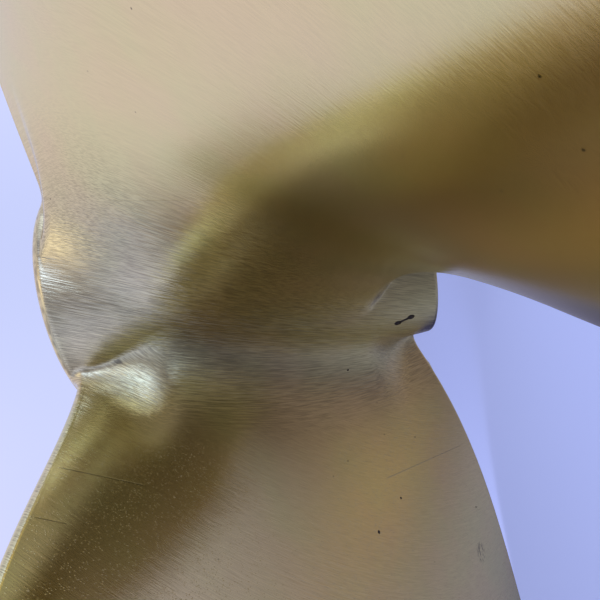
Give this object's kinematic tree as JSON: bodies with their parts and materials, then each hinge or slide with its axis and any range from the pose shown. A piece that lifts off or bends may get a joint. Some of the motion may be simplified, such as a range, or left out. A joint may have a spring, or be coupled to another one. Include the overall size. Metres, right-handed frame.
{
  "type": "ship propeller",
  "caption": "Cast bronze fixed-pitch propeller for a small craft, right-handed, with wide blades on a tapered boss with a keyed taper bore.",
  "frame": {"origin": "on the shaft axis, level with the lowest points of the trailing edges, which the casting rests on", "axes": "+Z along the shaft towards the bow and the boss's big end; +X through the keyway and along one blade"},
  "size_m": [0.4318, 0.4318, 0.1087],
  "materials": {
    "bronze": "ground, with brush lines, pits and light scratches"
  },
  "bodies": {
    "root": {"propeller": "bronze"}
  },
  "joints": []
}
